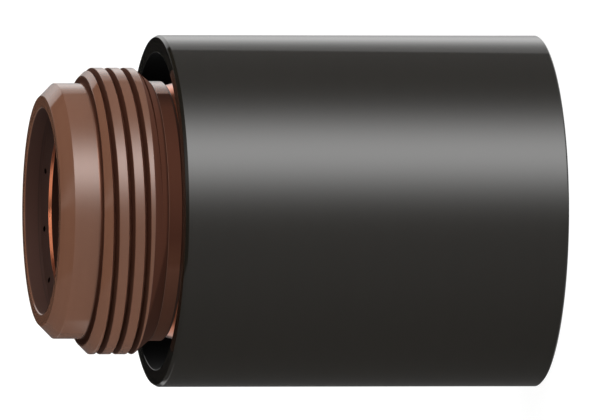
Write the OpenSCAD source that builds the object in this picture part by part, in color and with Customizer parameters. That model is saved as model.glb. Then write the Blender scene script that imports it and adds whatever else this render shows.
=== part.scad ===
// Retaining cap for a plasma cutting torch.
// A copper cap body screws onto the torch head and holds the nozzle by its front lip.
// A black insulating sleeve fits over the body, and a brown insulating ring is pressed on
// its nose. The ring carries the shield gas holes and a coarse thread for the shield.
// The axis is Z. The cap stands on the rear face of the sleeve with its nose up.
// The torch side grows outwards from the torch thread, and the nose from the nozzle bore.

/* [Nozzle seat] */
// Bore of the cap body for the nozzle
nozzle_bore_d = 17.44; // [15.8:0.02:19]
// How far the lip reaches in from the nozzle bore, to a seat at 45 degrees
lip_width = 0.42; // [0.3:0.02:0.6]
// How far the edge of the lip lies behind the edge of the ledge
lip_set = 0.04; // [0.03:0.01:0.2]
// Wall of the spigot that carries the nose ring
spigot_wall = 2.18; // [1.9:0.02:2.6]
// Chamfer on the front edge of the spigot
spigot_chamfer = 0.15; // [0.05:0.05:0.3]
// Slope of the body's front face, in degrees
tip_slope = 20; // [16:1:24]

/* [Body cone] */
// Width of the shoulder between the spigot and the cone
cone_shoulder_w = 1.54; // [1.2:0.02:1.9]
// Gap between the collar of the ring and that shoulder
shoulder_gap = 0.08; // [0.04:0.01:0.3]
// Angle of the body's cone, measured from the axis
cone_angle = 15; // [10:0.5:24]

/* [Torch side] */
// Bore of the torch thread, at the bottom of its grooves
torch_thread_d = 28.6; // [27:0.1:31]
// Length of the torch thread
torch_thread_l = 9.8; // [7:0.1:11]
// Radial step from the torch thread out to the plain mouth
mouth_step = 0.4; // [0.2:0.05:0.7]
// Length of the mouth in front of the torch thread
mouth_l = 1.4; // [1.2:0.1:2]
// Chamfer at the mouth
mouth_chamfer = 0.5; // [0.2:0.1:0.6]
// Radial step from the torch thread out to the clearance behind it
undercut_step = 0.3; // [0.1:0.05:0.6]
// Length of the clearance behind the torch thread
undercut_l = 1.4; // [1:0.1:2]
// Radial step from the torch thread in to the pilot bore
pilot_step = 1.4; // [0.9:0.05:2]
// Length of the pilot bore that the torch head seals in
pilot_l = 8.6; // [6:0.1:10]
// Chamfer at the mouth of the pilot bore
pilot_chamfer = 0.5; // [0.2:0.1:0.8]
// Length of the taper from the pilot bore to the chamber
pilot_taper_l = 2.6; // [1.5:0.1:3.5]
// Width of the chamber's shoulder, outwards from the nozzle bore
chamber_shoulder_w = 2.68; // [2.4:0.02:3]
// Metal between the chamber and the shoulder in front of the cone
chamber_cover = 1.74; // [1:0.02:4]
// Chamfer where the chamber's shoulder meets the nozzle bore
nozzle_entry_chamfer = 0.3; // [0.1:0.05:0.4]

/* [Body wall and flange] */
// Wall of the body outside the torch thread
body_wall = 1.47; // [1.2:0.01:2]
// Distance of the body's rear face inside the rear of the sleeve
body_recess = 0.8; // [0.3:0.1:1.4]
// Height of the rear flange above the outside of the body
flange_w = 0.65; // [0.3:0.05:1]
// Length of the rear flange
flange_l = 7.17; // [4:0.01:10]
// Chamfer on the rear flange
flange_chamfer = 0.4; // [0.1:0.1:0.7]

/* [Sleeve] */
// Length of the sleeve
sleeve_l = 38.5; // [34:0.5:44]
// Wall of the sleeve
sleeve_wall = 1.7; // [1.3:0.1:3]
// Length of the break on the outer front edge
front_break_l = 0.33; // [0.1:0.01:0.6]
// Width of the break on the outer front edge
front_break_w = 0.2; // [0.05:0.01:0.5]
// Break on the outer rear edge
rear_break = 0.15; // [0.05:0.01:0.3]
// Break on the edges of the bores
bore_break = 0.1; // [0.05:0.01:0.2]

/* [Nose ring] */
// How far the ring stands out of the front of the sleeve
nose_reach = 11.5; // [10.7:0.1:14]
// Length of the plain nose, a pilot for the shield
nose_l = 4.05; // [3.4:0.05:5]
// Chamfer on the front of the nose
nose_chamfer = 1.25; // [0.5:0.05:1.4]
// Width of the rim between the recess and the outside of the nose
rim_w = 2.5; // [2:0.05:3]
// Depth of the recess at its wall
recess_depth = 1.7; // [1.3:0.05:2]
// Break on the front edge of the recess
recess_break = 0.13; // [0.05:0.01:0.3]
// Fillet in the corner of the recess
recess_fillet = 0.12; // [0.05:0.01:0.2]
// Width of the ledge between the wall of the recess and the lip
ledge_w = 1.9; // [1.7:0.05:2.4]
// Slope of the ledge, in degrees
ledge_slope = 12.6; // [8:0.2:15]

/* [Shield thread] */
// Radial step from the nose out to the front edge of the threaded shoulder
shoulder_w = 0.75; // [0.5:0.05:1.2]
// Fillet between the nose and the shoulder
shoulder_fillet = 0.25; // [0.1:0.05:0.4]
// Chamfer at 45 degrees in front of the thread
lead_chamfer = 0.8; // [0.4:0.05:1.2]
// Length of the threaded shoulder with its chamfer
thread_l = 4.98; // [4:0.02:6]
// Height of the cone that runs from the end of the thread down to the collar
tail_drop = 1.35; // [1:0.05:1.6]
// Angle of that cone, measured from the axis
tail_angle = 40.4; // [36:0.2:60]
// Length of the plain collar behind the cone
collar_l = 1.56; // [1:0.02:2.4]
// Chamfer on the rear edge of the collar
collar_chamfer = 0.25; // [0.1:0.05:0.6]
// Pitch of the thread
thread_pitch = 1.5875; // [1.25:0.0125:2]
// Depth of the thread groove
groove_depth = 0.75; // [0.4:0.05:0.9]
// Angle between the flanks of the groove
groove_angle = 45; // [30:1:60]
// Angle round the axis at which the groove starts
groove_clock = 186.7; // [0:0.1:359]

/* [Gas feed] */
// Number of gas holes in the ledge
gas_holes = 10; // [6:1:16]
// Diameter of each gas hole
gas_hole_d = 0.53; // [0.4:0.01:0.6]
// Distance of the gas holes outwards from the lip
gas_circle_step = 1.12; // [1.06:0.01:1.2]
// Angle round the axis of the first gas hole
gas_clock = 29; // [0:1:35]
// Width of the gas channel behind the holes
channel_w = 1; // [0.8:0.05:1.1]
// How far the inner wall of the channel lies inside the circle of holes
channel_lead = 0.285; // [0.2:0.005:0.32]
// Depth of the channel behind the edge of the lip
channel_l = 2.04; // [1.5:0.02:4]
// Number of feed drillings from the chamber's shoulder to the channel
feeds = 5; // [3:1:8]
// Diameter of each feed drilling
feed_d = 0.8; // [0.5:0.05:0.9]

/* [Fits] */
// Radial clearance between the sleeve and the cap body
sleeve_fit = 0.03; // [0.01:0.01:0.08]
// Clearance between the nose ring and the cap body
ring_fit = 0.03; // [0.01:0.01:0.05]

/* [Hidden] */
$fn = 96;

// Overreach of a cutter past the surface that it cuts
over = 0.3;

// Radii on the torch side, from the torch thread
torch_thread_r = torch_thread_d / 2;
mouth_r = torch_thread_r + mouth_step;
undercut_r = torch_thread_r + undercut_step;
pilot_r = torch_thread_r - pilot_step;
body_r = torch_thread_r + body_wall;
flange_r = body_r + flange_w;
sleeve_bore_r = body_r + sleeve_fit;
sleeve_rear_bore_r = flange_r + sleeve_fit;
sleeve_r = sleeve_bore_r + sleeve_wall;

// Radii on the nose, from the nozzle bore
nozzle_bore_r = nozzle_bore_d / 2;
chamber_r = nozzle_bore_r + chamber_shoulder_w;
spigot_r = nozzle_bore_r + spigot_wall;
cone_front_r = spigot_r + cone_shoulder_w;
lip_r = nozzle_bore_r - lip_width;
recess_r = lip_r + ledge_w;
nose_r = recess_r + rim_w;
shoulder_r = nose_r + shoulder_w;
thread_r = shoulder_r + lead_chamfer;
collar_r = thread_r - tail_drop;
ring_bore_r = spigot_r + ring_fit;
ring_lip_r = lip_r + ring_fit;
gas_circle_r = lip_r + gas_circle_step;
channel_in_r = gas_circle_r - channel_lead;
feed_circle_r = channel_in_r + channel_w / 2;

// Heights of the nose ring, from its front face back
front_z = sleeve_l + nose_reach;
shoulder_z = front_z - nose_l;
thread_front_z = shoulder_z - lead_chamfer;
thread_rear_z = shoulder_z - thread_l;
tail_z = thread_rear_z - tail_drop / tan(tail_angle);
ring_rear_z = tail_z - collar_l;

// Heights of the body's nose, from the ring back
lip_z = ledge_z(lip_r) - lip_set;
seat_z = lip_z - lip_width;
channel_z = lip_z - channel_l;
body_shoulder_z = ring_rear_z - shoulder_gap;
cone_rear_z = body_shoulder_z - (body_r - cone_front_r) / tan(cone_angle);
chamber_top_z = body_shoulder_z - chamber_cover;

// Heights of the torch side, from the rear face of the sleeve up
torch_thread_z = body_recess + mouth_l;
undercut_z = torch_thread_z + torch_thread_l;
pilot_z = undercut_z + undercut_l;
pilot_top_z = pilot_z + pilot_l;
chamber_z = pilot_top_z + pilot_taper_l;
flange_top_z = body_recess + flange_l;
sleeve_rear_bore_l = flange_top_z + sleeve_fit;

// Height of the ledge and of the body's front face at a radius
function ledge_z(r) = front_z - recess_depth - (recess_r - r) * tan(ledge_slope);
function tip_z(r) = lip_z - (r - lip_r) * tan(tip_slope);

// Points of an arc from angle a0 to angle a1
function arc(centre, r, a0, a1, steps = 6) =
    [for (i = [0 : steps]) let (a = a0 + (a1 - a0) * i / steps)
        [centre[0] + r * cos(a), centre[1] + r * sin(a)]];

// Black insulating tube over the cap body
module outer_sleeve() {
    color([0.17, 0.16, 0.15])
        rotate_extrude()
            polygon([
                [sleeve_rear_bore_r + bore_break, 0],
                [sleeve_r - rear_break, 0],
                [sleeve_r, rear_break],
                [sleeve_r, sleeve_l - front_break_l],
                [sleeve_r - front_break_w, sleeve_l],
                [sleeve_bore_r + bore_break, sleeve_l],
                [sleeve_bore_r, sleeve_l - bore_break],
                [sleeve_bore_r, sleeve_rear_bore_l],
                [sleeve_rear_bore_r, sleeve_rear_bore_l],
                [sleeve_rear_bore_r, bore_break]
            ]);
}

// Copper body: lip, nozzle seat, spigot, cone, torch thread bore and gas feed
module cap_body() {
    color([0.8, 0.45, 0.3])
        difference() {
            rotate_extrude() polygon(body_outline());
            gas_channel();
            feed_drillings();
        }
}

function body_outline() = [
    // Outside, from the lip back to the rear flange
    [lip_r, lip_z],
    [spigot_r - spigot_chamfer, tip_z(spigot_r - spigot_chamfer)],
    [spigot_r, tip_z(spigot_r - spigot_chamfer) - spigot_chamfer],
    [spigot_r, body_shoulder_z],
    [cone_front_r, body_shoulder_z],
    [body_r, cone_rear_z],
    [body_r, flange_top_z],
    [flange_r, flange_top_z],
    [flange_r, body_recess + flange_chamfer],
    [flange_r - flange_chamfer, body_recess],
    // Inside, from the mouth up to the nozzle seat
    [mouth_r + mouth_chamfer, body_recess],
    [mouth_r, body_recess + mouth_chamfer],
    [mouth_r, torch_thread_z - mouth_step],
    [torch_thread_r, torch_thread_z],
    [torch_thread_r, undercut_z],
    [undercut_r, undercut_z],
    [undercut_r, pilot_z],
    [pilot_r + pilot_chamfer, pilot_z],
    [pilot_r, pilot_z + pilot_chamfer],
    [pilot_r, pilot_top_z],
    [chamber_r, chamber_z],
    [chamber_r, chamber_top_z],
    [nozzle_bore_r + nozzle_entry_chamfer, chamber_top_z],
    [nozzle_bore_r, chamber_top_z + nozzle_entry_chamfer],
    [nozzle_bore_r, seat_z]
];

// Ring-shaped gas channel turned into the front face of the body
module gas_channel() {
    translate([0, 0, channel_z])
        difference() {
            cylinder(r = channel_in_r + channel_w, h = channel_l + over);
            translate([0, 0, -over])
                cylinder(r = channel_in_r, h = channel_l + 3 * over);
        }
}

// Drillings that bring the gas from the chamber's shoulder to the channel
module feed_drillings() {
    for (i = [0 : feeds - 1])
        rotate(gas_clock + 360 * i / feeds)
            translate([feed_circle_r, 0, chamber_top_z - over])
                cylinder(d = feed_d, h = channel_z - chamber_top_z + 2 * over, $fn = 24);
}

// Brown insulating ring with the gas holes and the shield thread
module nose_ring() {
    color([0.48, 0.35, 0.3])
        difference() {
            rotate_extrude() polygon(ring_outline());
            shield_thread_groove();
            gas_drillings();
        }
}

function ring_outline() = concat(
    // Outside, from the front face back to the collar
    [
        [recess_r + recess_break, front_z],
        [nose_r - nose_chamfer, front_z],
        [nose_r, front_z - nose_chamfer]
    ],
    arc([nose_r + shoulder_fillet, shoulder_z + shoulder_fillet], shoulder_fillet, 180, 270),
    [
        [shoulder_r, shoulder_z],
        [thread_r, thread_front_z],
        [thread_r, thread_rear_z],
        [collar_r, tail_z],
        [collar_r, ring_rear_z + collar_chamfer],
        [collar_r - collar_chamfer, ring_rear_z],
        // Inside, along the spigot and the conical seat to the ledge
        [ring_bore_r, ring_rear_z],
        [ring_bore_r, tip_z(ring_bore_r) + ring_fit],
        [ring_lip_r, tip_z(ring_lip_r) + ring_fit],
        [ring_lip_r, ledge_z(ring_lip_r)]
    ],
    // Ledge, corner fillet and wall of the recess
    arc(recess_corner(), recess_fillet, ledge_slope - 90, 0),
    [[recess_r, front_z - recess_break]]
);

// Centre of the fillet in the corner of the recess
function recess_corner() = [
    recess_r - recess_fillet,
    ledge_z(recess_r - recess_fillet) + recess_fillet / cos(ledge_slope)
];

module gas_drillings() {
    for (i = [0 : gas_holes - 1])
        rotate(gas_clock + 360 * i / gas_holes)
            translate([gas_circle_r, 0, channel_z])
                cylinder(d = gas_hole_d, h = front_z - channel_z, $fn = 24);
}

// Single-start right-hand thread groove, swept as one cutter.
// It starts in the air ahead of the shoulder and ends in the air behind the tail cone,
// so it fades out through both.
module shield_thread_groove() {
    root_r = thread_r - groove_depth;
    outer_r = thread_r + over;
    half_w = (outer_r - root_r) * tan(groove_angle / 2);
    start_z = shoulder_z + over / 2;
    turns = (start_z - tail_z) / thread_pitch;
    steps = ceil(turns * 60);
    section = [[root_r, 0], [outer_r, half_w], [outer_r, -half_w]];
    points = [
        for (i = [0 : steps])
            let (t = turns * i / steps, a = groove_clock - 360 * t, z = start_z - thread_pitch * t)
                for (p = section) [p[0] * cos(a), p[0] * sin(a), z + p[1]]
    ];
    sides = [
        for (i = [0 : steps - 1], j = [0 : 2])
            let (a = 3 * i + j, b = 3 * i + (j + 1) % 3)
                for (f = [[a, b, b + 3], [a, b + 3, a + 3]]) f
    ];
    ends = [[2, 1, 0], [3 * steps, 3 * steps + 1, 3 * steps + 2]];
    polyhedron(points = points, faces = concat(sides, ends), convexity = 10);
}

outer_sleeve();
cap_body();
nose_ring();
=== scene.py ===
"""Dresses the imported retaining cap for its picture.

The three turned pieces of the cap are modelled again with fine edges, a smooth shield thread
and the internal torch thread, and get turned plastic and copper. The cap stands on its rear
face, and the camera lies on its side, so that the nose points left in the picture.
"""

import math

import bmesh
import bpy
from mathutils import Matrix, Vector


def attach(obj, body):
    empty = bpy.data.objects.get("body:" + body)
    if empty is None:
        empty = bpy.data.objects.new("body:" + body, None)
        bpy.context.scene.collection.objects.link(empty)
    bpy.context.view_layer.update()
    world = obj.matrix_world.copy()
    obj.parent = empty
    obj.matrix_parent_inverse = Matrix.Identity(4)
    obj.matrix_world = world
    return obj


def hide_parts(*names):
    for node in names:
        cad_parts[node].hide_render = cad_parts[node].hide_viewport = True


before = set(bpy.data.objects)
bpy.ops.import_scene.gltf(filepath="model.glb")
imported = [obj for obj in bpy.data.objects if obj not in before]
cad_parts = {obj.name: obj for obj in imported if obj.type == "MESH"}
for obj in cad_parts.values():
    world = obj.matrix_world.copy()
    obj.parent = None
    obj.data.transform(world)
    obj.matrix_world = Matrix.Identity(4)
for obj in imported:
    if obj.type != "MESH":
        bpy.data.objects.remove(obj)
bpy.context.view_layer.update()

MM = 0.001
AXIS = (0.0, 0.0, 1.0)

# Sizes of the cap in millimetres, as in its CAD source

SLEEVE_R = 17.5
SLEEVE_BORE_R = 15.8
SLEEVE_REAR_BORE_R = 16.45
SLEEVE_L = 38.5
SLEEVE_REAR_BORE_L = 8.0
SLEEVE_FRONT_BREAK_W = 0.2
SLEEVE_FRONT_BREAK_L = 0.33
SLEEVE_REAR_BREAK = 0.15
SLEEVE_BORE_BREAK = 0.03  # finer than in the source

FRONT_Z = 50.0
NOSE_R = 12.7
NOSE_CHAMFER = 1.25
SHOULDER_Z = 45.95
SHOULDER_R = 13.45
THREAD_R = 14.25
THREAD_REAR_Z = 40.97
COLLAR_R = 12.9
COLLAR_TOP_Z = 39.384
COLLAR_REAR_Z = 37.824
COLLAR_CHAMFER = 0.25
RECESS_R = 10.2
RECESS_DEPTH = 1.7
RECESS_BREAK = 0.13
LEDGE_SLOPE = math.radians(12.6)
LEDGE_EDGE_Z = FRONT_Z - RECESS_DEPTH
LIP_R = 8.3
LIP_WIDTH = 0.42
FIT = 0.03

THREAD_PITCH = 1.5875
GROOVE_DEPTH = 0.75
GROOVE_ANGLE = math.radians(45)
GROOVE_CLOCK = math.radians(186.7)
GROOVE_START_Z = SHOULDER_Z + 0.15
GROOVE_ROOT_HALF = 0.012
CREST_BREAK = 0.06

GAS_HOLES = 10
GAS_HOLE_R = 0.265
GAS_CIRCLE_R = 9.42
GAS_CLOCK = math.radians(29)
GAS_DRILL_L = 4.0
CHANNEL_IN_R = 9.135
CHANNEL_W = 1.0
CHANNEL_OUT_R = CHANNEL_IN_R + CHANNEL_W
CHANNEL_L = 2.04
FEEDS = 5
FEED_R = 0.4

NOZZLE_BORE_R = 8.72
NOZZLE_ENTRY_CHAMFER = 0.3
SPIGOT_R = 10.9
SPIGOT_CHAMFER = 0.15
TIP_SLOPE = math.radians(20)
BODY_SHOULDER_Z = 37.744
CONE_FRONT_R = 12.44
CONE_ANGLE = math.radians(15)
BODY_R = 15.77
FLANGE_R = 16.42
FLANGE_TOP_Z = 7.97
FLANGE_CHAMFER = 0.4
BODY_REAR_Z = 0.8
CHAMBER_R = 11.4
CHAMBER_Z = 24.6
CHAMBER_TOP_Z = 36.004
PILOT_R = 12.9
PILOT_CHAMFER = 0.5
PILOT_Z = 13.4
PILOT_TOP_Z = 22.0
UNDERCUT_R = 14.6
UNDERCUT_Z = 12.0
MOUTH_R = 14.7
MOUTH_CHAMFER = 0.5
MOUTH_STEP = 0.4

# The torch thread: it starts ahead of the full bore and runs out into the undercut
TORCH_THREAD_R = 14.3
TORCH_THREAD_Z = 2.2
TORCH_THREAD_PITCH = 1.5
TORCH_THREAD_DEPTH = 0.82
TORCH_THREAD_ANGLE = math.radians(60)
TORCH_ROOT_HALF = TORCH_THREAD_PITCH / 16
TORCH_THREAD_LEAD = 0.9
TORCH_THREAD_RUN_OUT = 0.6
TORCH_THREAD_END_L = 0.4

# Roundings of edges and corners
SHARP_ROUND = 0.03
FINE_ROUND = 0.04
EDGE_ROUND = 0.05
RING_ROUND = 0.06
TAIL_ROUND = 0.08
BORE_ROUND = 0.1
RECESS_FILLET = 0.12
SHOULDER_FILLET = 0.25
TAPER_ROUND = 0.3

# How far the tools reach past the surface that they cut
THREAD_TOOL_REACH = 0.3
DRILL_REACH = 0.5

# Facets round a turned surface and a drill, and steps a turn of the threads
ROUND = 256
DRILL_FACETS = 32
ROUNDING_FACETS = 4
TORCH_THREAD_STEPS = 96
SHIELD_THREAD_STEPS = 192

# Distances in metres under which two points are one
CORNER_REACH = 1e-6
SPIN_SEAM = 2e-7
SWEEP_SEAM = 1e-7


def ledge_z(r):
    return LEDGE_EDGE_Z - (RECESS_R - r) * math.tan(LEDGE_SLOPE)


LIP_Z = ledge_z(LIP_R)  # flush with the ledge, and a hair behind it in the source
SEAT_Z = LIP_Z - LIP_WIDTH


def tip_z(r):
    return LIP_Z - (r - LIP_R) * math.tan(TIP_SLOPE)


# Modelling


def nothing_selected():
    if bpy.context.object and bpy.context.object.mode != "OBJECT":
        bpy.ops.object.mode_set(mode="OBJECT")
    bpy.ops.object.select_all(action="DESELECT")


def only(obj):
    nothing_selected()
    obj.select_set(True)
    bpy.context.view_layer.objects.active = obj


def drawn_profile(name, corners):
    """A closed outline in the XZ plane, drawn point by point.

    A corner is (r, z) or (r, z, rounding)."""
    nothing_selected()
    first = corners[0]
    bpy.ops.mesh.primitive_plane_add(size=MM, location=(first[0] * MM, 0, first[1] * MM))
    obj = bpy.context.object
    obj.name = obj.data.name = name
    bpy.ops.object.transform_apply(location=True, rotation=True, scale=True)
    bpy.ops.object.mode_set(mode="EDIT")
    bpy.ops.mesh.select_all(action="SELECT")
    bpy.ops.mesh.merge(type="CENTER")
    for before, after in zip(corners, corners[1:]):
        step = ((after[0] - before[0]) * MM, 0, (after[1] - before[1]) * MM)
        bpy.ops.mesh.extrude_region_move(TRANSFORM_OT_translate={"value": step})
    select_corners(obj, [corners[0], corners[-1]])
    bpy.ops.mesh.edge_face_add()
    for corner in corners:
        if len(corner) > 2:
            select_corners(obj, [corner])
            bpy.ops.mesh.bevel(
                offset=corner[2] * MM,
                segments=ROUNDING_FACETS,
                affect="VERTICES",
                offset_type="WIDTH",
            )
    return obj


def select_corners(obj, corners):
    """Selects the vertices of a profile that lie at these corners."""
    bpy.ops.mesh.select_all(action="DESELECT")
    mesh = bmesh.from_edit_mesh(obj.data)
    mesh.verts.ensure_lookup_table()
    places = [Vector((corner[0] * MM, 0, corner[1] * MM)) for corner in corners]
    for vert in mesh.verts:
        vert.select = any((vert.co - place).length < CORNER_REACH for place in places)
    mesh.select_flush_mode()
    bmesh.update_edit_mesh(obj.data)


def turned(name, corners):
    """A piece turned on the lathe: its outline spun about the axis."""
    obj = drawn_profile(name, corners)
    bpy.ops.mesh.select_all(action="SELECT")
    bpy.ops.mesh.spin(
        steps=ROUND, angle=2 * math.pi, center=(0, 0, 0), axis=AXIS, use_auto_merge=True
    )
    bpy.ops.mesh.select_all(action="SELECT")
    bpy.ops.mesh.remove_doubles(threshold=SPIN_SEAM)
    bpy.ops.mesh.normals_make_consistent(inside=False)
    bpy.ops.object.mode_set(mode="OBJECT")
    return obj


def helix_cutter(name, section, start_z, end_z, pitch, clock, steps):
    """A closed section swept down a right-hand helix, as a thread tool cuts.

    It starts at the angle clock and runs from start_z to end_z, with so many steps a turn."""
    obj = drawn_profile(name, section)
    bpy.ops.mesh.select_all(action="SELECT")
    bpy.ops.transform.rotate(value=-clock, orient_axis="Z", center_override=(0, 0, 0))
    bpy.ops.mesh.edge_face_add()
    bpy.ops.object.mode_set(mode="OBJECT")
    turns = (start_z - end_z) / pitch
    screw = obj.modifiers.new("sweep", "SCREW")
    screw.axis = "Z"
    screw.angle = -2 * math.pi * turns
    screw.screw_offset = -pitch * turns * MM
    screw.steps = screw.render_steps = math.ceil(steps * turns)
    screw.use_merge_vertices = False
    only(obj)
    bpy.ops.object.modifier_apply(modifier=screw.name)
    bpy.ops.object.mode_set(mode="EDIT")
    bpy.ops.mesh.select_all(action="SELECT")
    bpy.ops.mesh.remove_doubles(threshold=SWEEP_SEAM)
    bpy.ops.mesh.select_all(action="DESELECT")
    bpy.ops.mesh.select_non_manifold(extend=False)
    bpy.ops.mesh.edge_face_add()
    bpy.ops.mesh.select_all(action="SELECT")
    bpy.ops.mesh.normals_make_consistent(inside=False)
    bpy.ops.object.mode_set(mode="OBJECT")
    return obj


def drill(name, r, x, y, low, high):
    """A drill of radius r that reaches from low to high."""
    nothing_selected()
    bpy.ops.mesh.primitive_cylinder_add(
        vertices=DRILL_FACETS,
        radius=r * MM,
        depth=(high - low) * MM,
        location=(x * MM, y * MM, (low + high) / 2 * MM),
    )
    obj = bpy.context.object
    obj.name = name
    bpy.ops.object.transform_apply(location=True, rotation=True, scale=True)
    return obj


def ring_of_drills(name, count, r, circle_r, low, high):
    """Drills evenly spaced round the axis, the first at the angle of the first gas hole."""
    angles = [GAS_CLOCK + 2 * math.pi * i / count for i in range(count)]
    drills = [
        drill(f"{name}_{i}", r, circle_r * math.cos(angle), circle_r * math.sin(angle), low, high)
        for i, angle in enumerate(angles)
    ]
    nothing_selected()
    for one in drills:
        one.select_set(True)
    bpy.context.view_layer.objects.active = drills[0]
    bpy.ops.object.join()
    return drills[0]


def cut(obj, cutter):
    boolean = obj.modifiers.new("cut", "BOOLEAN")
    boolean.operation = "DIFFERENCE"
    boolean.solver = "EXACT"
    boolean.object = cutter
    only(obj)
    bpy.ops.object.modifier_apply(modifier=boolean.name)
    bpy.data.objects.remove(cutter)


# The sleeve


def insulating_sleeve():
    return turned(
        "insulating_sleeve",
        [
            (SLEEVE_REAR_BORE_R + SLEEVE_BORE_BREAK, 0),
            (SLEEVE_R - SLEEVE_REAR_BREAK, 0, FINE_ROUND),
            (SLEEVE_R, SLEEVE_REAR_BREAK, FINE_ROUND),
            (SLEEVE_R, SLEEVE_L - SLEEVE_FRONT_BREAK_L, EDGE_ROUND),
            (SLEEVE_R - SLEEVE_FRONT_BREAK_W, SLEEVE_L, FINE_ROUND),
            (SLEEVE_BORE_R + SLEEVE_BORE_BREAK, SLEEVE_L),
            (SLEEVE_BORE_R, SLEEVE_L - SLEEVE_BORE_BREAK),
            (SLEEVE_BORE_R, SLEEVE_REAR_BORE_L),
            (SLEEVE_REAR_BORE_R, SLEEVE_REAR_BORE_L),
            (SLEEVE_REAR_BORE_R, SLEEVE_BORE_BREAK),
        ],
    )


# The copper body


def copper_body():
    minor_r = TORCH_THREAD_R - TORCH_THREAD_DEPTH
    mouth_end_z = TORCH_THREAD_Z - MOUTH_STEP
    spigot_edge_r = SPIGOT_R - SPIGOT_CHAMFER
    cone_l = (BODY_R - CONE_FRONT_R) / math.tan(CONE_ANGLE)
    body = turned(
        "copper_body",
        [
            (LIP_R, LIP_Z, SHARP_ROUND),
            (CHANNEL_IN_R, tip_z(CHANNEL_IN_R)),
            (CHANNEL_IN_R, LIP_Z - CHANNEL_L),
            (CHANNEL_OUT_R, LIP_Z - CHANNEL_L),
            (CHANNEL_OUT_R, tip_z(CHANNEL_OUT_R)),
            (spigot_edge_r, tip_z(spigot_edge_r)),
            (SPIGOT_R, tip_z(spigot_edge_r) - SPIGOT_CHAMFER),
            (SPIGOT_R, BODY_SHOULDER_Z),
            (CONE_FRONT_R, BODY_SHOULDER_Z, SHARP_ROUND),
            (BODY_R, BODY_SHOULDER_Z - cone_l),
            (BODY_R, FLANGE_TOP_Z),
            (FLANGE_R, FLANGE_TOP_Z),
            (FLANGE_R, BODY_REAR_Z + FLANGE_CHAMFER, EDGE_ROUND),
            (FLANGE_R - FLANGE_CHAMFER, BODY_REAR_Z, EDGE_ROUND),
            (MOUTH_R + MOUTH_CHAMFER, BODY_REAR_Z, EDGE_ROUND),
            (MOUTH_R, BODY_REAR_Z + MOUTH_CHAMFER, EDGE_ROUND),
            (MOUTH_R, mouth_end_z),
            (minor_r, mouth_end_z + MOUTH_R - minor_r, EDGE_ROUND),
            (minor_r, UNDERCUT_Z - TORCH_THREAD_END_L, EDGE_ROUND),
            (UNDERCUT_R, UNDERCUT_Z),
            (UNDERCUT_R, PILOT_Z),
            (PILOT_R + PILOT_CHAMFER, PILOT_Z, EDGE_ROUND),
            (PILOT_R, PILOT_Z + PILOT_CHAMFER, BORE_ROUND),
            (PILOT_R, PILOT_TOP_Z, TAPER_ROUND),
            (CHAMBER_R, CHAMBER_Z, TAPER_ROUND),
            (CHAMBER_R, CHAMBER_TOP_Z, BORE_ROUND),
            (NOZZLE_BORE_R + NOZZLE_ENTRY_CHAMFER, CHAMBER_TOP_Z, EDGE_ROUND),
            (NOZZLE_BORE_R, CHAMBER_TOP_Z + NOZZLE_ENTRY_CHAMFER, EDGE_ROUND),
            (NOZZLE_BORE_R, SEAT_Z, FINE_ROUND),
        ],
    )
    cut(body, torch_thread_tool(minor_r))
    feeds = ring_of_drills(
        "feed_drill",
        FEEDS,
        FEED_R,
        CHANNEL_IN_R + CHANNEL_W / 2,
        CHAMBER_TOP_Z - DRILL_REACH,
        LIP_Z - CHANNEL_L + DRILL_REACH,
    )
    cut(body, feeds)
    return body


def torch_thread_tool(minor_r):
    """The flanks of the torch thread with the narrow flat at the bottom of its groove."""
    inner_r = minor_r - THREAD_TOOL_REACH
    flank = math.tan(TORCH_THREAD_ANGLE / 2)
    mouth_half = TORCH_ROOT_HALF + (TORCH_THREAD_R - inner_r) * flank
    top = UNDERCUT_Z + TORCH_THREAD_RUN_OUT
    section = [
        (TORCH_THREAD_R, top + TORCH_ROOT_HALF),
        (TORCH_THREAD_R, top - TORCH_ROOT_HALF),
        (inner_r, top - mouth_half),
        (inner_r, top + mouth_half),
    ]
    return helix_cutter(
        "torch_thread_tool",
        section,
        top,
        TORCH_THREAD_Z - TORCH_THREAD_LEAD,
        TORCH_THREAD_PITCH,
        clock=0.0,
        steps=TORCH_THREAD_STEPS,
    )


# The ring


def threaded_ring():
    bore_r = SPIGOT_R + FIT
    lip_r = LIP_R + FIT
    ring = turned(
        "threaded_ring",
        [
            (RECESS_R + RECESS_BREAK, FRONT_Z, FINE_ROUND),
            (NOSE_R - NOSE_CHAMFER, FRONT_Z, RING_ROUND),
            (NOSE_R, FRONT_Z - NOSE_CHAMFER, RING_ROUND),
            (NOSE_R, SHOULDER_Z, SHOULDER_FILLET),
            (SHOULDER_R, SHOULDER_Z, RING_ROUND),
            (THREAD_R, SHOULDER_Z - THREAD_R + SHOULDER_R, RING_ROUND),
            (THREAD_R, THREAD_REAR_Z, RING_ROUND),
            (COLLAR_R, COLLAR_TOP_Z, TAIL_ROUND),
            (COLLAR_R, COLLAR_REAR_Z + COLLAR_CHAMFER, FINE_ROUND),
            (COLLAR_R - COLLAR_CHAMFER, COLLAR_REAR_Z, FINE_ROUND),
            (bore_r, COLLAR_REAR_Z),
            (bore_r, tip_z(bore_r) + FIT),
            (lip_r, tip_z(lip_r) + FIT),
            (lip_r, ledge_z(lip_r)),
            (RECESS_R, LEDGE_EDGE_Z, RECESS_FILLET),
            (RECESS_R, FRONT_Z - RECESS_BREAK, FINE_ROUND),
        ],
    )
    cut(ring, shield_thread_tool())
    holes = ring_of_drills(
        "gas_drill", GAS_HOLES, GAS_HOLE_R, GAS_CIRCLE_R, FRONT_Z - GAS_DRILL_L, FRONT_Z
    )
    cut(ring, holes)
    return ring


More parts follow.
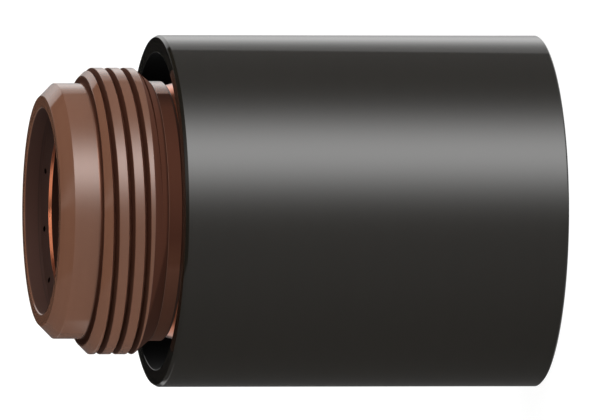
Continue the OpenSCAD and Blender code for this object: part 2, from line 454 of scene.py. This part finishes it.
def shield_thread_tool():
    """The V of the thread groove, which opens wider at the crest to break its edges."""
    flank = math.tan(GROOVE_ANGLE / 2)
    root_r = THREAD_R - GROOVE_DEPTH
    break_r = THREAD_R - CREST_BREAK
    break_half = (break_r - root_r) * flank
    outer_r = THREAD_R + THREAD_TOOL_REACH
    outer_half = break_half + CREST_BREAK + THREAD_TOOL_REACH
    section = [
        (root_r, GROOVE_START_Z - GROOVE_ROOT_HALF),
        (break_r, GROOVE_START_Z - break_half),
        (outer_r, GROOVE_START_Z - outer_half),
        (outer_r, GROOVE_START_Z + outer_half),
        (break_r, GROOVE_START_Z + break_half),
        (root_r, GROOVE_START_Z + GROOVE_ROOT_HALF),
    ]
    return helix_cutter(
        "shield_thread_tool",
        section,
        GROOVE_START_Z,
        COLLAR_TOP_Z,
        THREAD_PITCH,
        clock=GROOVE_CLOCK,
        steps=SHIELD_THREAD_STEPS,
    )


# Nodes


def node(tree, kind, **values):
    """A new node. A value in_NAME is set on the input of that name, any other on the node."""
    made = tree.nodes.new(kind)
    for name, value in values.items():
        if name.startswith("in_"):
            made.inputs[name[3:].replace("_", " ")].default_value = value
        else:
            setattr(made, name, value)
    return made


def feed(tree, value, socket):
    """Links a value to a socket, or sets the number or colour on it."""
    if isinstance(value, bpy.types.NodeSocket):
        tree.links.new(value, socket)
    else:
        socket.default_value = value


def maths(tree, operation, *operands):
    """A Math node whose operands are sockets or numbers."""
    made = node(tree, "ShaderNodeMath", operation=operation)
    for socket, operand in zip(made.inputs, operands):
        feed(tree, operand, socket)
    return made.outputs[0]


def product(tree, first, *others):
    for other in others:
        first = maths(tree, "MULTIPLY", first, other)
    return first


def largest(tree, first, *others):
    for other in others:
        first = maths(tree, "MAXIMUM", first, other)
    return first


def blend(tree, share, start, end, **kind):
    """Start where the share is 0, and end where it is 1. They are numbers, or else colours."""
    made = node(tree, "ShaderNodeMix", **kind)
    feed(tree, share, made.inputs["Factor"])
    feed(tree, start, made.inputs["A"])
    feed(tree, end, made.inputs["B"])
    return made.outputs["Result"]


def ramp(tree, value, low, high, **kind):
    """0 at low and 1 at high."""
    made = node(tree, "ShaderNodeMapRange", in_From_Min=low, in_From_Max=high, **kind)
    tree.links.new(value, made.inputs["Value"])
    return made.outputs[0]


def above(tree, value, edge, soft):
    """0 at an edge, and 1 a little above it."""
    return ramp(tree, value, edge, edge + soft)


def below(tree, value, edge, soft):
    """0 at an edge, and 1 a little below it."""
    return ramp(tree, value, edge, edge - soft)


def peak(tree, value, centre, half_width):
    """1 at the centre, falling to 0 at half_width to each side."""
    off = maths(tree, "SUBTRACT", value, centre)
    return ramp(tree, maths(tree, "ABSOLUTE", off), half_width, 0.0)


def lay_out(tree):
    """Sets the nodes of a tree in columns, each to the left of all that it feeds."""
    onward = {}
    for link in tree.links:
        onward.setdefault(link.from_node.name, set()).add(link.to_node.name)
    columns = {}

    def column(name):
        if name not in columns:
            columns[name] = 1 + max((column(fed) for fed in onward.get(name, ())), default=-1)
        return columns[name]

    filled = {}
    for one in tree.nodes:
        across = column(one.name)
        down = filled.get(across, 0)
        filled[across] = down + 1
        one.location = (-220 * across, -200 * down)


def value_group(name, taken, given):
    """A shader node group that takes and gives values under these names."""
    group = bpy.data.node_groups.new(name, "ShaderNodeTree")
    for title in taken:
        group.interface.new_socket(title, in_out="INPUT", socket_type="NodeSocketFloat")
    for title in given:
        group.interface.new_socket(title, in_out="OUTPUT", socket_type="NodeSocketFloat")
    return group


def axis_place():
    """Where a point lies on a turned piece: radius and height in millimetres, and angle."""
    group = value_group("axis_place", [], ["Radius", "Height", "Angle"])
    outward = node(group, "NodeGroupOutput").inputs
    place = node(group, "ShaderNodeTexCoord")
    parts = node(group, "ShaderNodeSeparateXYZ")
    group.links.new(place.outputs["Object"], parts.inputs[0])
    x, y, z = parts.outputs
    squares = maths(group, "ADD", maths(group, "MULTIPLY", x, x), maths(group, "MULTIPLY", y, y))
    radius = maths(group, "DIVIDE", maths(group, "SQRT", squares), MM)
    group.links.new(radius, outward["Radius"])
    group.links.new(maths(group, "DIVIDE", z, MM), outward["Height"])
    group.links.new(maths(group, "ARCTAN2", y, x), outward["Angle"])
    lay_out(group)
    return group


AXIS_PLACE = axis_place()


def turning_marks():
    """Lathe marks: noise that changes only with the radius and the height on the piece.

    The fine marks are scratches, the bands are wider, and the mottle lies all over."""
    group = value_group("turning_marks", ["Marks per mm"], ["Fine", "Bands", "Mottle"])
    inward = node(group, "NodeGroupInput").outputs
    outward = node(group, "NodeGroupOutput").inputs
    place = node(group, "ShaderNodeTexCoord")
    axis = node(group, "ShaderNodeGroup", node_tree=AXIS_PLACE).outputs
    where = node(group, "ShaderNodeCombineXYZ")
    group.links.new(axis["Radius"], where.inputs[0])
    group.links.new(axis["Height"], where.inputs[1])
    noise = "ShaderNodeTexNoise"
    fine = node(group, noise, noise_dimensions="2D", in_Detail=2.0)
    bands = node(group, noise, noise_dimensions="2D", in_Scale=0.9, in_Detail=3.0)
    mottle = node(group, noise, in_Scale=900.0, in_Detail=4.0, in_Roughness=0.6)
    group.links.new(inward["Marks per mm"], fine.inputs["Scale"])
    group.links.new(where.outputs[0], fine.inputs["Vector"])
    group.links.new(where.outputs[0], bands.inputs["Vector"])
    group.links.new(place.outputs["Object"], mottle.inputs["Vector"])
    group.links.new(fine.outputs[0], outward["Fine"])
    group.links.new(bands.outputs[0], outward["Bands"])
    group.links.new(mottle.outputs[0], outward["Mottle"])
    lay_out(group)
    return group


MARKS = turning_marks()


# Materials

# The range of the mixed noise over which the colour drifts from one tone to the other
DRIFT_START = 0.3
DRIFT_END = 0.7

# A hollow's roughness is complete before its painted shade is, and the painted shade's roughness
# sets in past half its depth
HOLLOW_GAIN = 1.65
DEEP_SHADE = 0.6


def turned_finish(
    name,
    colour,
    paler,
    marks_per_mm,
    marks_height,
    roughness,
    roughness_spread,
    metallic=0.0,
    specular=0.5,
    tint=(1.0, 1.0, 1.0),
    hollow_shade=None,
    hollow_shade_colour=None,
    hollow_roughness=None,
    hollow_shade_metal=None,
    painted_shade=None,
):
    """A turned surface: its colour drifts from band to band, and its marks scatter the light.

    Its hollows get painted shade, a dark colour with a roughness of its own, and further painted
    shade darkens the colour by its depth. Both are functions of the place on the piece, and give
    a share from 0 to 1. Neither has the clear gloss of the rest, so on plastic they take up the
    metallic side of the shader, whose shine is as dark as its colour, so the shade is painted
    over the reflections too."""
    material = bpy.data.materials.new(name)
    material.use_nodes = True
    tree = material.node_tree
    shader = tree.nodes["Principled BSDF"].inputs
    shader["Specular IOR Level"].default_value = specular
    shader["Specular Tint"].default_value = (*tint, 1)
    axis = node(tree, "ShaderNodeGroup", node_tree=AXIS_PLACE).outputs
    marks = node(tree, "ShaderNodeGroup", node_tree=MARKS, in_Marks_per_mm=marks_per_mm).outputs

    half_bands = maths(tree, "MULTIPLY", marks["Bands"], 0.5)
    half_mottle = maths(tree, "MULTIPLY", marks["Mottle"], 0.5)
    drift = maths(tree, "ADD", half_bands, half_mottle)
    drift = ramp(tree, drift, DRIFT_START, DRIFT_END)
    colours = blend(tree, drift, (*colour, 1), (*paler, 1), data_type="RGBA")
    rough = node(
        tree, "ShaderNodeMapRange", in_To_Min=roughness, in_To_Max=roughness + roughness_spread
    )
    tree.links.new(marks["Bands"], rough.inputs["Value"])
    roughnesses = rough.outputs[0]
    metal = metallic

    # Painted shade in the hollows: a dark colour, rougher, and on plastic a dark metal shine
    if hollow_shade:
        share = hollow_shade(tree, axis)
        colours = blend(tree, share, colours, (*hollow_shade_colour, 1), data_type="RGBA")
        sooner = maths(tree, "MINIMUM", maths(tree, "MULTIPLY", share, HOLLOW_GAIN), 1.0)
        roughnesses = blend(tree, sooner, roughnesses, hollow_roughness)
        if hollow_shade_metal:
            metal = maths(tree, "MULTIPLY", sooner, hollow_shade_metal(tree, axis))
    # Painted shade that darkens the colour by its depth, rough and on plastic dark-shining where
    # deepest
    if painted_shade:
        depth = painted_shade(tree, axis)
        light = maths(tree, "SUBTRACT", 1.0, depth)
        colours = blend(tree, 1.0, colours, light, data_type="RGBA", blend_type="MULTIPLY")
        deep = ramp(tree, depth, DEEP_SHADE, 1.0)
        roughnesses = blend(tree, deep, roughnesses, 1.0)
        if metallic < 1:
            metal = maths(tree, "MAXIMUM", metal, deep)

    bump = node(tree, "ShaderNodeBump", in_Strength=1.0, in_Distance=marks_height * MM)
    tree.links.new(marks["Fine"], bump.inputs["Height"])
    feed(tree, colours, shader["Base Color"])
    feed(tree, roughnesses, shader["Roughness"])
    feed(tree, metal, shader["Metallic"])
    feed(tree, bump.outputs[0], shader["Normal"])
    lay_out(tree)
    return material


# The sleeve's plastic


def sleeve_bore_shade(tree, axis):
    """Painted shade in the bores of the sleeve."""
    inside = below(tree, axis["Radius"], SLEEVE_R - 0.6, 0.1)
    behind_face = below(tree, axis["Height"], SLEEVE_L - 0.01, 0.02)
    return maths(tree, "MULTIPLY", inside, behind_face)


def black_plastic():
    return turned_finish(
        "black_plastic",
        colour=(0.0092, 0.0076, 0.0052),
        paler=(0.0106, 0.0089, 0.0064),
        marks_per_mm=14.0,
        marks_height=0.0012,
        roughness=0.05,
        roughness_spread=0.02,
        # Painted shade in the sleeve's bores
        painted_shade=sleeve_bore_shade,
    )


# The ring's plastic

# Shares of the painted shade in the hollows, and what comes off them on the picture's lower side
GROOVE_SHADE_SHARE = 0.78
GROOVE_SHADE_PER_MM = 0.3
GROOVE_PALER_BELOW = 0.42
TAIL_HOLLOW_SHADE = 0.9
COLLAR_HOLLOW_SHADE = 0.9
COLLAR_PALER_BELOW = 0.37

# How far the recess gives up its gloss under the painted shade
RECESS_METAL = 0.35

# Depths of the painted shade
LEDGE_SHADE = 0.36
LEDGE_INNER_SHADE = 0.15
LEDGE_CORNER_SHADE = 2.2
COLLAR_SHADE = 0.28
COLLAR_TOP_SHADE = 0.6
COLLAR_ROOT_SHADE = 0.55
COLLAR_REAR_SHADE = 0.8
TAIL_SHADE = 0.4
TAIL_SHADE_FALL = 0.65


def upward(tree, axis):
    """1 at the side of a piece that is its top in the picture, and -1 at the other."""
    return maths(tree, "COSINE", axis["Angle"])


def on_tail(tree, axis):
    """The cone between the thread and the collar."""
    ahead = above(tree, axis["Height"], COLLAR_TOP_Z, 0.02)
    behind = below(tree, axis["Height"], THREAD_REAR_Z, 0.04)
    return maths(tree, "MULTIPLY", behind, ahead)


def on_collar(tree, axis):
    return below(tree, axis["Height"], COLLAR_TOP_Z, 0.05)


def collar_gloss(tree, axis):
    """The strip along the picture's top that the painted shade leaves out, where the collar still
    shines.
    """
    return above(tree, upward(tree, axis), 0.895, 0.015)


def collar_underside(tree, axis):
    """The lower side of the collar, which faces the open gap and gets less painted shade."""
    return below(tree, upward(tree, axis), -0.2, 0.25)


def groove_shade(tree, axis):
    """Painted shade in the groove, by its depth under the outline of the shoulder and the tail,
    lighter on the picture's lower side.
    """
    radius, height = axis["Radius"], axis["Height"]
    lead = maths(tree, "SUBTRACT", SHOULDER_R + SHOULDER_Z, height)
    tail_fall = (THREAD_R - COLLAR_R) / (THREAD_REAR_Z - COLLAR_TOP_Z)
    tail = maths(tree, "SUBTRACT", height, THREAD_REAR_Z)
    tail = maths(tree, "MULTIPLY_ADD", tail, tail_fall, THREAD_R)
    outline = maths(tree, "MINIMUM", maths(tree, "MINIMUM", lead, tail), THREAD_R)
    depth = maths(tree, "SUBTRACT", outline, radius)
    under = below(tree, upward(tree, axis), 0.0, 0.5)
    return product(
        tree,
        maths(tree, "MULTIPLY_ADD", depth, GROOVE_SHADE_PER_MM, GROOVE_SHADE_SHARE),
        above(tree, depth, 0.02, 0.06),
        below(tree, height, SHOULDER_Z, 0.02),
        above(tree, radius, COLLAR_R, 0.02),
        maths(tree, "MULTIPLY_ADD", under, -GROOVE_PALER_BELOW, 1.0),
    )


def ring_hollow_shade(tree, axis):
    """Painted shade in the groove, the recess and the corner at the shoulder, and on all behind
    the thread apart from the collar's shining strip.
    """
    recess = below(tree, axis["Radius"], RECESS_R + 0.05, 0.04)
    shoulder = maths(
        tree,
        "MULTIPLY",
        peak(tree, axis["Height"], SHOULDER_Z + 0.08, 0.3),
        below(tree, axis["Radius"], SHOULDER_R - 0.05, 0.15),
    )
    tail = maths(tree, "MULTIPLY", on_tail(tree, axis), TAIL_HOLLOW_SHADE)
    under = collar_underside(tree, axis)
    collar_shade_share = maths(tree, "MULTIPLY_ADD", under, -COLLAR_PALER_BELOW, COLLAR_HOLLOW_SHADE)
    collar = maths(tree, "MULTIPLY", collar_shade_share, on_collar(tree, axis))
    shining = maths(tree, "MULTIPLY", collar_gloss(tree, axis), on_collar(tree, axis))
    behind = maths(tree, "SUBTRACT", largest(tree, tail, collar), shining)
    return largest(tree, groove_shade(tree, axis), recess, shoulder, behind)


def ring_hollow_shade_metal(tree, axis):
    """Under the painted shade, the recess keeps a part of its gloss, and the other hollows none.
    """
    outside = above(tree, axis["Radius"], RECESS_R + 0.05, 0.05)
    return maths(tree, "MAXIMUM", outside, RECESS_METAL)


def ring_painted_shade(tree, axis):
    """Painted shade in the gas holes and on the ledge, and on the collar and tail where the
    sleeve shades them and mirrors dark.
    """
    return largest(
        tree,
        gas_hole_shade(tree, axis),
        ledge_shade(tree, axis),
        collar_shade(tree, axis),
        tail_shade(tree, axis),
    )


def gas_hole_shade(tree, axis):
    """Painted shade in the drilled gas holes in the ledge and on their rims."""
    turn = maths(tree, "SUBTRACT", axis["Angle"], GAS_CLOCK)
    turn = maths(tree, "PINGPONG", turn, math.pi / GAS_HOLES)
    along = maths(tree, "MULTIPLY", turn, GAS_CIRCLE_R)
    across = maths(tree, "SUBTRACT", axis["Radius"], GAS_CIRCLE_R)
    along = maths(tree, "MULTIPLY", along, along)
    across = maths(tree, "MULTIPLY", across, across)
    distance = maths(tree, "SQRT", maths(tree, "ADD", along, across))
    return below(tree, distance, GAS_HOLE_R + 0.02, 0.01)


def ledge_shade(tree, axis):
    """Painted shade in the recess, darker on its ledge and most of all in the corner."""
    ledge = below(tree, axis["Height"], LEDGE_EDGE_Z + 0.24, 0.02)
    corner = peak(tree, axis["Height"], LEDGE_EDGE_Z + 0.27, 0.09)
    corner = maths(tree, "MULTIPLY", corner, LEDGE_CORNER_SHADE)
    shade = largest(tree, ledge, corner)
    shade = maths(tree, "MULTIPLY_ADD", shade, LEDGE_INNER_SHADE, LEDGE_SHADE)
    return maths(tree, "MULTIPLY", shade, below(tree, axis["Radius"], RECESS_R + 0.02, 0.02))


def collar_shade(tree, axis):
    """Painted shade on the collar apart from its shining strip, in the corner at its root and on
    its rear chamfer.
    """
    height = axis["Height"]
    gloss = collar_gloss(tree, axis)
    plain = maths(tree, "SUBTRACT", on_collar(tree, axis), gloss)
    under = collar_underside(tree, axis)
    depth = maths(tree, "MULTIPLY_ADD", under, -COLLAR_SHADE, COLLAR_SHADE)
    plain = maths(tree, "MULTIPLY", plain, depth)
    top = maths(tree, "SUBTRACT", above(tree, upward(tree, axis), 0.72, 0.16), gloss)
    top = product(tree, top, below(tree, height, COLLAR_TOP_Z + 0.1, 0.1), COLLAR_TOP_SHADE)
    root = product(
        tree,
        peak(tree, height, COLLAR_TOP_Z + 0.1, 0.22),
        COLLAR_ROOT_SHADE,
        above(tree, axis["Radius"], SPIGOT_R + 0.5, 0.1),
    )
    rear = below(tree, height, COLLAR_REAR_Z + COLLAR_CHAMFER + 0.04, 0.04)
    rear = maths(tree, "MULTIPLY", rear, COLLAR_REAR_SHADE)
    return largest(tree, plain, top, root, rear)


def tail_shade(tree, axis):
    """Painted reflection of the dark sleeve, as shade on the lower part of the tail, from the
    collar forwards.
    """
    down = maths(tree, "SUBTRACT", THREAD_REAR_Z, axis["Height"])
    down = maths(tree, "MULTIPLY", down, TAIL_SHADE_FALL / (THREAD_REAR_Z - COLLAR_TOP_Z))
    shade = above(tree, maths(tree, "SUBTRACT", down, upward(tree, axis)), 0.75, 0.1)
    return product(tree, shade, on_tail(tree, axis), TAIL_SHADE)


def brown_plastic():
    return turned_finish(
        "brown_plastic",
        colour=(0.150, 0.066, 0.039),
        paler=(0.162, 0.073, 0.044),
        marks_per_mm=12.0,
        marks_height=0.0015,
        roughness=0.06,
        roughness_spread=0.03,
        specular=0.6,
        tint=(1.0, 0.87, 0.83),
        # Painted shade in the groove, the recess and the gas holes, and painted shade and
        # reflection of the dark sleeve on the collar and tail
        hollow_shade=ring_hollow_shade,
        hollow_shade_colour=(0.088, 0.033, 0.021),
        hollow_roughness=0.8,
        hollow_shade_metal=ring_hollow_shade_metal,
        painted_shade=ring_painted_shade,
    )


# The copper

# A line inside the wall, which widens from the nozzle bore to the mouth, bounds the painted shade
# of the hollows
WALL_LINE_Z = 36.3
WALL_LINE_R = 12.2
WALL_LINE_SLOPE = 0.17
WALL_LINE_MAX_R = 15.3

# Depths of the painted shade
NOZZLE_BORE_SHADE = 0.2
GAP_SHADE = 0.3


def behind_seat(tree, axis):
    return maths(tree, "LESS_THAN", axis["Height"], SEAT_Z + 0.03)


def body_hollow_shade(tree, axis):
    """Painted shade in the bores of the copper body behind the nozzle seat, and in its gas
    channel.
    """
    line = maths(tree, "SUBTRACT", WALL_LINE_Z, axis["Height"])
    line = maths(tree, "MULTIPLY_ADD", line, WALL_LINE_SLOPE, WALL_LINE_R)
    line = maths(tree, "MINIMUM", line, WALL_LINE_MAX_R)
    inside = maths(tree, "LESS_THAN", axis["Radius"], line)
    return maths(tree, "MULTIPLY", inside, behind_seat(tree, axis))


def body_painted_shade(tree, axis):
    """Painted shade in the nozzle bore and the gas channel, where little light comes, and on the
    cone in the gap.
    """
    bore = product(
        tree,
        maths(tree, "GREATER_THAN", axis["Height"], CHAMBER_TOP_Z + 0.2),
        behind_seat(tree, axis),
        maths(tree, "LESS_THAN", axis["Radius"], CHANNEL_OUT_R + 0.1),
        NOZZLE_BORE_SHADE,
    )
    cone = product(
        tree,
        above(tree, axis["Height"], BODY_SHOULDER_Z - 6, 1.0),
        maths(tree, "GREATER_THAN", axis["Radius"], CONE_FRONT_R - 0.1),
        GAP_SHADE,
    )
    return largest(tree, bore, cone)


def bright_copper():
    return turned_finish(
        "bright_copper",
        colour=(0.80, 0.25, 0.12),
        paler=(0.84, 0.28, 0.14),
        marks_per_mm=14.0,
        marks_height=0.003,
        roughness=0.14,
        roughness_spread=0.06,
        metallic=1.0,
        # Painted shade in the bores and the gas channel, and on the cone in the gap
        hollow_shade=body_hollow_shade,
        hollow_shade_colour=(0.06, 0.026, 0.018),
        hollow_roughness=0.9,
        painted_shade=body_painted_shade,
    )


# Finishing

SMOOTH_ANGLE = math.radians(30)


def finish_piece(piece, material, cad_node, in_gloss=True):
    """Gives a piece its material and its place. One that isn't in gloss mirrors in no other."""
    piece.data.materials.clear()
    piece.data.materials.append(material)
    piece.visible_glossy = in_gloss
    only(piece)
    bpy.ops.object.shade_smooth_by_angle(angle=SMOOTH_ANGLE)
    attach(piece, "root")
    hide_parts(cad_node)


# Studio

# What gloss sees. Angles run round the cap's axis, from 0 at the camera through 90 at the
# picture's top.
ROOM_LEVEL = 0.40
ROOM_SWING = 0.28
ROOM_BRIGHT_ANGLE = 20
LAMP_ANGLE = 39.0
LAMP_WIDTH = 17.5
LAMP_LEVEL = 7.2
OVER_NOSE_LEVEL = 0.1
PANEL_LEVEL = 0.42
PANEL_PEAK = 1.12
PANEL_PEAK_ANGLE = 153.0
PANEL_PEAK_WIDTH = 9.0
PANEL_EDGE_X = -0.98
PANEL_EDGE_Z = -0.532
GROUND_LEVEL = 0.9

# What diffuse colours see, and the level of both
SOFT_LEVEL = 0.45
SOFT_SWING = 0.65
SOFT_BRIGHT_ANGLE = 40
SOFT_ENDS = 2.75
SOFT_TOP = 0.35
WORLD_LEVEL = 0.8

# The floor, in metres
FLOOR_R = 0.6
FLOOR_GREY = (0.85, 0.85, 0.85, 1)
FLOOR_SHADE_GREY = (0.3, 0.3, 0.3, 1)
FLOOR_WHITE = 0.85


def bell(tree, value, centre, width, height):
    """A bell curve with its top at the centre."""
    off = maths(tree, "DIVIDE", maths(tree, "SUBTRACT", value, centre), width)
    fall = maths(tree, "MULTIPLY", maths(tree, "MULTIPLY", off, off), -0.5)
    return maths(tree, "MULTIPLY", maths(tree, "EXPONENT", fall), height)


def fade(tree, value, low, high):
    """0 at low and 1 at high, with a soft start and end."""
    return ramp(tree, value, low, high, interpolation_type="SMOOTHSTEP")


def gloss_light(tree, x, y, z):
    """What gloss sees in the direction x, y, z: the room with a broad soft lamp above the
    camera, a panel behind and above the cap, and the white ground below and behind it."""
    turn = maths(tree, "ARCTAN2", x, maths(tree, "MULTIPLY", y, -1.0))
    angle = maths(tree, "MULTIPLY", turn, 180 / math.pi)
    swing = maths(tree, "SUBTRACT", turn, math.radians(ROOM_BRIGHT_ANGLE))
    swing = maths(tree, "COSINE", swing)
    room = maths(tree, "MULTIPLY_ADD", swing, ROOM_SWING, ROOM_LEVEL)
    lamp = bell(tree, angle, LAMP_ANGLE, LAMP_WIDTH, LAMP_LEVEL)
    around = maths(tree, "ADD", room, lamp)

    # Nothing bright stands over the nose, apart from a slope on the picture's lower side
    over_nose = fade(tree, maths(tree, "MULTIPLY_ADD", y, 0.35, z), 0.44, 0.22)
    slope = fade(tree, maths(tree, "MULTIPLY_ADD", z, 0.65, x), 0.03, -0.03)
    around = product(tree, around, largest(tree, over_nose, slope, OVER_NOSE_LEVEL))

    # The panel's lower edge is straight, so it is a plane through the cap
    edge = maths(tree, "MULTIPLY_ADD", x, PANEL_EDGE_X, y)
    edge = maths(tree, "MULTIPLY_ADD", z, PANEL_EDGE_Z, edge)
    panel = bell(tree, angle, PANEL_PEAK_ANGLE, PANEL_PEAK_WIDTH, PANEL_PEAK)
    panel = product(
        tree,
        maths(tree, "ADD", panel, PANEL_LEVEL),
        fade(tree, edge, -0.01, 0.01),
        fade(tree, z, 0.75, 0.5),
        fade(tree, x, 0.04, 0.12),
    )

    ground_behind = product(
        tree,
        fade(tree, maths(tree, "ABSOLUTE", angle), 174.5, 176.5),
        fade(tree, z, 0.02, -0.04),
        fade(tree, z, -0.5, -0.35),
    )
    ground_below = product(
        tree,
        fade(tree, z, -0.42, -0.62),
        fade(tree, maths(tree, "ABSOLUTE", x), 0.05, 0.22),
    )
    ground_side = product(
        tree,
        fade(tree, z, -0.12, -0.06),
        fade(tree, z, 0.16, 0.1),
        fade(tree, x, -0.3, -0.42),
        fade(tree, y, 0.4, 0.5),
    )
    ground = largest(tree, ground_behind, ground_below, ground_side)
    return blend(tree, ground, maths(tree, "ADD", around, panel), GROUND_LEVEL)


def soft_light(tree, x, y):
    """Even light for the diffuse colours, with more from the lamp's side and from the sides of
    the cap that are the picture's top and bottom."""
    lamp_side = math.radians(SOFT_BRIGHT_ANGLE)
    facing = maths(
        tree,
        "ADD",
        maths(tree, "MULTIPLY", x, math.sin(lamp_side)),
        maths(tree, "MULTIPLY", y, -math.cos(lamp_side)),
    )
    soft = maths(tree, "MULTIPLY_ADD", facing, SOFT_SWING, SOFT_LEVEL)
    soft = maths(tree, "MULTIPLY_ADD", maths(tree, "MULTIPLY", x, x), SOFT_ENDS, soft)
    raised = maths(tree, "MAXIMUM", x, 0.0)
    raised = maths(tree, "MULTIPLY", raised, raised)
    return maths(tree, "MULTIPLY_ADD", raised, SOFT_TOP, soft)


def studio_light():
    """A world that lights diffuse colours evenly, gives gloss its lamps, and looks white."""
    world = bpy.data.worlds.new("studio")
    bpy.context.scene.world = world
    world.use_nodes = True
    world.cycles.sampling_method = "NONE"
    tree = world.node_tree
    tree.nodes.clear()
    out = node(tree, "ShaderNodeOutputWorld")
    ray = node(tree, "ShaderNodeLightPath").outputs
    direction = node(tree, "ShaderNodeTexCoord")
    parts = node(tree, "ShaderNodeSeparateXYZ")
    tree.links.new(direction.outputs["Generated"], parts.inputs[0])
    x, y, z = parts.outputs
    level = blend(tree, ray["Is Diffuse Ray"], gloss_light(tree, x, y, z), soft_light(tree, x, y))
    level = maths(tree, "MULTIPLY", level, WORLD_LEVEL)
    white = largest(tree, ray["Is Camera Ray"], ray["Is Transmission Ray"])
    sky = node(tree, "ShaderNodeBackground", in_Color=(1, 1, 1, 1))
    tree.links.new(blend(tree, white, level, 1.0), sky.inputs["Strength"])
    tree.links.new(sky.outputs[0], out.inputs["Surface"])
    lay_out(tree)


def pale_floor():
    """A floor that is matt to the light, and to the camera white with the cap's soft shadow."""
    nothing_selected()
    bpy.ops.mesh.primitive_circle_add(
        vertices=128, radius=FLOOR_R, fill_type="NGON", location=(0, 0, 0)
    )
    floor = bpy.context.object
    floor.name = "floor"
    material = bpy.data.materials.new("pale_floor")
    material.use_nodes = True
    tree = material.node_tree
    tree.nodes.clear()
    out = node(tree, "ShaderNodeOutputMaterial")
    ray = node(tree, "ShaderNodeLightPath")
    matt = node(tree, "ShaderNodeBsdfDiffuse", in_Color=FLOOR_GREY)
    shade = node(tree, "ShaderNodeBsdfDiffuse", in_Color=FLOOR_SHADE_GREY)
    white = node(tree, "ShaderNodeEmission", in_Strength=FLOOR_WHITE)
    lit = node(tree, "ShaderNodeAddShader")
    tree.links.new(shade.outputs[0], lit.inputs[0])
    tree.links.new(white.outputs[0], lit.inputs[1])
    shown = node(tree, "ShaderNodeMixShader")
    tree.links.new(ray.outputs["Is Camera Ray"], shown.inputs[0])
    tree.links.new(matt.outputs[0], shown.inputs[1])
    tree.links.new(lit.outputs[0], shown.inputs[2])
    tree.links.new(shown.outputs[0], out.inputs["Surface"])
    lay_out(tree)
    floor.data.materials.append(material)
    floor.visible_glossy = False


# The camera, and the width of what it sees at the cap in millimetres
CAMERA_ELEVATION = math.radians(10.4)
CAMERA_AIM = Vector((0.1, 0, 23.88)) * MM
CAMERA_LENS = 1190
CAMERA_SENSOR = 36
FRAME_WIDTH = 59.73


def side_camera():
    """A long lens level with the cap's side, ten degrees towards its nose, and turned so that
    the nose points left."""
    back = Vector((0, -math.cos(CAMERA_ELEVATION), math.sin(CAMERA_ELEVATION)))
    up = Vector((1, 0, 0))
    right = up.cross(back)
    data = bpy.data.cameras.new("camera")
    data.sensor_width = CAMERA_SENSOR
    data.lens = CAMERA_LENS
    data.clip_start = 0.1
    data.clip_end = 10
    camera = bpy.data.objects.new("camera", data)
    bpy.context.scene.collection.objects.link(camera)
    distance = FRAME_WIDTH * MM * CAMERA_LENS / CAMERA_SENSOR
    turn = Matrix((right, up, back)).transposed().to_4x4()
    camera.matrix_world = Matrix.Translation(CAMERA_AIM + back * distance) @ turn
    bpy.context.scene.camera = camera


finish_piece(insulating_sleeve(), black_plastic(), "outer_sleeve", in_gloss=False)
finish_piece(copper_body(), bright_copper(), "cap_body", in_gloss=False)
finish_piece(threaded_ring(), brown_plastic(), "nose_ring")
studio_light()
pale_floor()
side_camera()
bpy.context.scene.view_settings.view_transform = "Standard"
